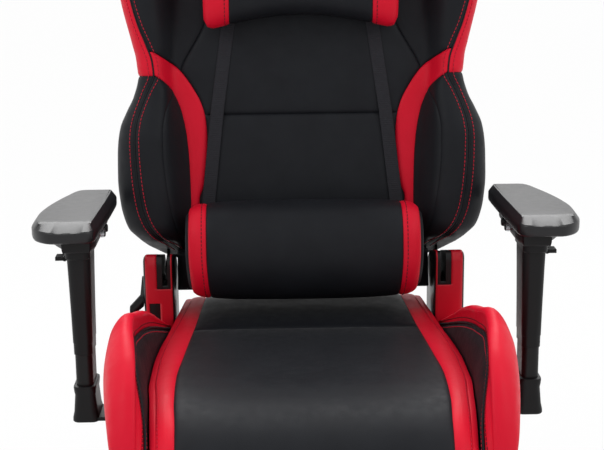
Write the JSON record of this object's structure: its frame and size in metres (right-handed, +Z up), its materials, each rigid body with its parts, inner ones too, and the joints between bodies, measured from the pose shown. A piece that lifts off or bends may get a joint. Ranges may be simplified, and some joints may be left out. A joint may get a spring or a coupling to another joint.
{
  "type": "gaming chair",
  "caption": "Racing-style swivel gaming chair with bolstered black and red seat and reclining back, lumbar and neck pillows, adjustable armrests and a star base on casters.",
  "frame": {"origin": "on the floor under the gas lift, which is the middle of the plan", "axes": "+Z up, front of the chair towards -Y, +X to the right as seen from the front"},
  "size_m": [0.752, 0.7539, 1.2869],
  "materials": {
    "base_nylon": "glass-filled nylon, fine moulded texture",
    "caster_tread": "soft polyurethane tread, satin",
    "lift_steel": "black powder coat",
    "bright_steel": "zinc-plated and ground steel",
    "black_plastic": "black moulded plastic, light texture",
    "post_steel": "dark satin coated steel tube",
    "webbing": "woven black polyester",
    "black_upholstery": "black coated leatherette over foam, fine grain",
    "red_upholstery": "red coated leatherette over foam, fine grain",
    "red_plastic": "red moulded plastic with a black rim",
    "pad_foam": "dark grey skinned polyurethane foam, satin"
  },
  "bodies": {
    "base": {"star_base": "base_nylon", "lift_cylinder": "lift_steel", "dust_cover_lower": "black_plastic"},
    "cover_stage": {"dust_cover_middle": "black_plastic"},
    "column": {"lift_piston": "bright_steel", "dust_cover_upper": "black_plastic"},
    "caster_1": {"caster_fork_1": "base_nylon"},
    "wheels_1": {"caster_wheels_1": "caster_tread"},
    "caster_2": {"caster_fork_2": "base_nylon"},
    "wheels_2": {"caster_wheels_2": "caster_tread"},
    "caster_3": {"caster_fork_3": "base_nylon"},
    "wheels_3": {"caster_wheels_3": "caster_tread"},
    "caster_4": {"caster_fork_4": "base_nylon"},
    "wheels_4": {"caster_wheels_4": "caster_tread"},
    "caster_5": {"caster_fork_5": "base_nylon"},
    "wheels_5": {"caster_wheels_5": "caster_tread"},
    "chassis": {"tilt_housing": "lift_steel", "tilt_axle": "bright_steel", "tension_spring": "bright_steel"},
    "knob": {"tension_knob": "black_plastic"},
    "tilt_lock": {"lever_clevis": "bright_steel"},
    "lever": {"height_lever": "bright_steel"},
    "seat": {"tilt_plate": "lift_steel", "mount_bolts": "bright_steel", "seat_frame": "lift_steel", "seat_webbing": "webbing", "underside_cover": "webbing", "seat_cushion": "black_upholstery", "seat_bolster_left": "red_upholstery", "seat_bolster_right": "red_upholstery", "recliner_brackets": "lift_steel", "hinge_cover_left": "red_plastic", "hinge_cover_right": "red_plastic", "arm_bracket_left": "black_plastic", "arm_bracket_right": "black_plastic", "arm_post_left": "post_steel", "arm_post_right": "post_steel"},
    "back": {"back_frame": "lift_steel", "back_cushion": "black_upholstery", "back_wing_left": "black_upholstery", "back_wing_right": "black_upholstery", "back_shell": "black_upholstery", "harness_trims": "black_plastic", "pillow_straps": "webbing"},
    "recline_handle": {"recline_lever": "black_plastic"},
    "lumbar": {"lumbar_pillow": "black_upholstery"},
    "neck": {"neck_pillow": "black_upholstery"},
    "sleeve_left": {"arm_sleeve_left": "black_plastic"},
    "trigger_left": {"arm_trigger_left": "black_plastic"},
    "turntable_left": {"arm_turntable_left": "black_plastic"},
    "armrest_left": {"arm_tray_left": "black_plastic", "arm_pad_left": "pad_foam"},
    "button_left": {"arm_button_left": "black_plastic"},
    "sleeve_right": {"arm_sleeve_right": "black_plastic"},
    "trigger_right": {"arm_trigger_right": "black_plastic"},
    "turntable_right": {"arm_turntable_right": "black_plastic"},
    "armrest_right": {"arm_tray_right": "black_plastic", "arm_pad_right": "pad_foam"},
    "button_right": {"arm_button_right": "black_plastic"}
  },
  "joints": [
    {"name": "lift", "type": "slide", "parent": "base", "child": "column", "axis": [0, 0, 1], "range_m": [0, 0.08]},
    {"name": "cover_follow", "type": "slide", "parent": "base", "child": "cover_stage", "axis": [0, 0, 1], "range_m": [0, 0.04]},
    {"name": "caster_swivel_1", "type": "hinge", "parent": "base", "child": "caster_1", "pos_m": [0, -0.32, 0.08], "axis": [0, 0, 1], "continuous": true},
    {"name": "wheel_spin_1", "type": "hinge", "parent": "caster_1", "child": "wheels_1", "pos_m": [0, -0.344, 0.03], "axis": [1, 0, 0], "continuous": true},
    {"name": "caster_swivel_2", "type": "hinge", "parent": "base", "child": "caster_2", "pos_m": [0.30434, -0.09889, 0.08], "axis": [0, 0, 1], "continuous": true},
    {"name": "wheel_spin_2", "type": "hinge", "parent": "caster_2", "child": "wheels_2", "pos_m": [0.32716, -0.1063, 0.03], "axis": [0.309, 0.9511, 0], "continuous": true},
    {"name": "caster_swivel_3", "type": "hinge", "parent": "base", "child": "caster_3", "pos_m": [0.18809, 0.25888, 0.08], "axis": [0, 0, 1], "continuous": true},
    {"name": "wheel_spin_3", "type": "hinge", "parent": "caster_3", "child": "wheels_3", "pos_m": [0.2022, 0.2783, 0.03], "axis": [-0.809, 0.5878, 0], "continuous": true},
    {"name": "caster_swivel_4", "type": "hinge", "parent": "base", "child": "caster_4", "pos_m": [-0.18809, 0.25888, 0.08], "axis": [0, 0, 1], "continuous": true},
    {"name": "wheel_spin_4", "type": "hinge", "parent": "caster_4", "child": "wheels_4", "pos_m": [-0.2022, 0.2783, 0.03], "axis": [-0.809, -0.5878, 0], "continuous": true},
    {"name": "caster_swivel_5", "type": "hinge", "parent": "base", "child": "caster_5", "pos_m": [-0.30434, -0.09889, 0.08], "axis": [0, 0, 1], "continuous": true},
    {"name": "wheel_spin_5", "type": "hinge", "parent": "caster_5", "child": "wheels_5", "pos_m": [-0.32716, -0.1063, 0.03], "axis": [0.309, -0.9511, 0], "continuous": true},
    {"name": "seat_swivel", "type": "hinge", "parent": "column", "child": "chassis", "pos_m": [0, 0, 0.3282], "axis": [0, 0, 1], "continuous": true},
    {"name": "tension_turn", "type": "hinge", "parent": "chassis", "child": "knob", "pos_m": [0, -0.064, 0.29], "axis": [0, 0, 1], "range_deg": [-360, 360]},
    {"name": "tilt_lock_slide", "type": "slide", "parent": "chassis", "child": "tilt_lock", "axis": [-1, 0, 0], "range_m": [0, 0.012]},
    {"name": "height_lever_lift", "type": "hinge", "parent": "tilt_lock", "child": "lever", "pos_m": [-0.072, -0.02, 0.3242], "axis": [0, 1, 0], "range_deg": [0, 5], "stiffness_Nm_per_rad": 3, "springref_deg": -10},
    {"name": "seat_tilt", "type": "hinge", "parent": "chassis", "child": "seat", "pos_m": [0, -0.105, 0.3502], "axis": [-1, 0, 0], "range_deg": [0, 12], "stiffness_Nm_per_rad": 150, "springref_deg": -34.38, "deforming": ["tension_spring"]},
    {"name": "recline", "type": "hinge", "parent": "seat", "child": "back", "pos_m": [0, 0.205, 0.52], "axis": [-1, 0, 0], "range_deg": [0, 55]},
    {"name": "recline_handle_lift", "type": "hinge", "parent": "seat", "child": "recline_handle", "pos_m": [-0.235, 0.205, 0.52], "axis": [-1, 0, 0], "range_deg": [0, 25], "stiffness_Nm_per_rad": 1, "springref_deg": -10},
    {"name": "lumbar_height", "type": "slide", "parent": "back", "child": "lumbar", "axis": [0, 0.1392, 0.9903], "range_m": [-0.005, 0.06]},
    {"name": "neck_height", "type": "slide", "parent": "back", "child": "neck", "axis": [0, 0.1392, 0.9903], "range_m": [-0.03, 0.03]},
    {"name": "arm_height_left", "type": "slide", "parent": "seat", "child": "sleeve_left", "axis": [0, 0, 1], "range_m": [-0.04, 0.03]},
    {"name": "arm_trigger_left", "type": "hinge", "parent": "sleeve_left", "child": "trigger_left", "pos_m": [-0.333, 0.01, 0.6122], "axis": [0, 1, 0], "range_deg": [0, 12], "stiffness_Nm_per_rad": 0.05, "springref_deg": -11.46},
    {"name": "arm_turn_left", "type": "hinge", "parent": "sleeve_left", "child": "turntable_left", "pos_m": [-0.312, 0.01, 0.62], "axis": [0, 0, 1], "range_deg": [0, 20]},
    {"name": "arm_slide_left", "type": "slide", "parent": "turntable_left", "child": "armrest_left", "axis": [0, -1, 0], "range_m": [0, 0.05]},
    {"name": "arm_button_left", "type": "slide", "parent": "armrest_left", "child": "button_left", "axis": [-1, 0, 0], "range_m": [0, 0.003], "stiffness_N_per_m": 200, "springref_m": -0.004},
    {"name": "arm_height_right", "type": "slide", "parent": "seat", "child": "sleeve_right", "axis": [0, 0, 1], "range_m": [-0.04, 0.03]},
    {"name": "arm_trigger_right", "type": "hinge", "parent": "sleeve_right", "child": "trigger_right", "pos_m": [0.333, 0.01, 0.6122], "axis": [0, -1, 0], "range_deg": [0, 12], "stiffness_Nm_per_rad": 0.05, "springref_deg": -11.46},
    {"name": "arm_turn_right", "type": "hinge", "parent": "sleeve_right", "child": "turntable_right", "pos_m": [0.312, 0.01, 0.62], "axis": [0, 0, -1], "range_deg": [0, 20]},
    {"name": "arm_slide_right", "type": "slide", "parent": "turntable_right", "child": "armrest_right", "axis": [0, -1, 0], "range_m": [0, 0.05]},
    {"name": "arm_button_right", "type": "slide", "parent": "armrest_right", "child": "button_right", "axis": [1, 0, 0], "range_m": [0, 0.003], "stiffness_N_per_m": 200, "springref_m": -0.004}
  ],
  "couplings": [
    {"joint": "cover_follow", "follows": "lift", "ratio": 0.5}
  ]
}
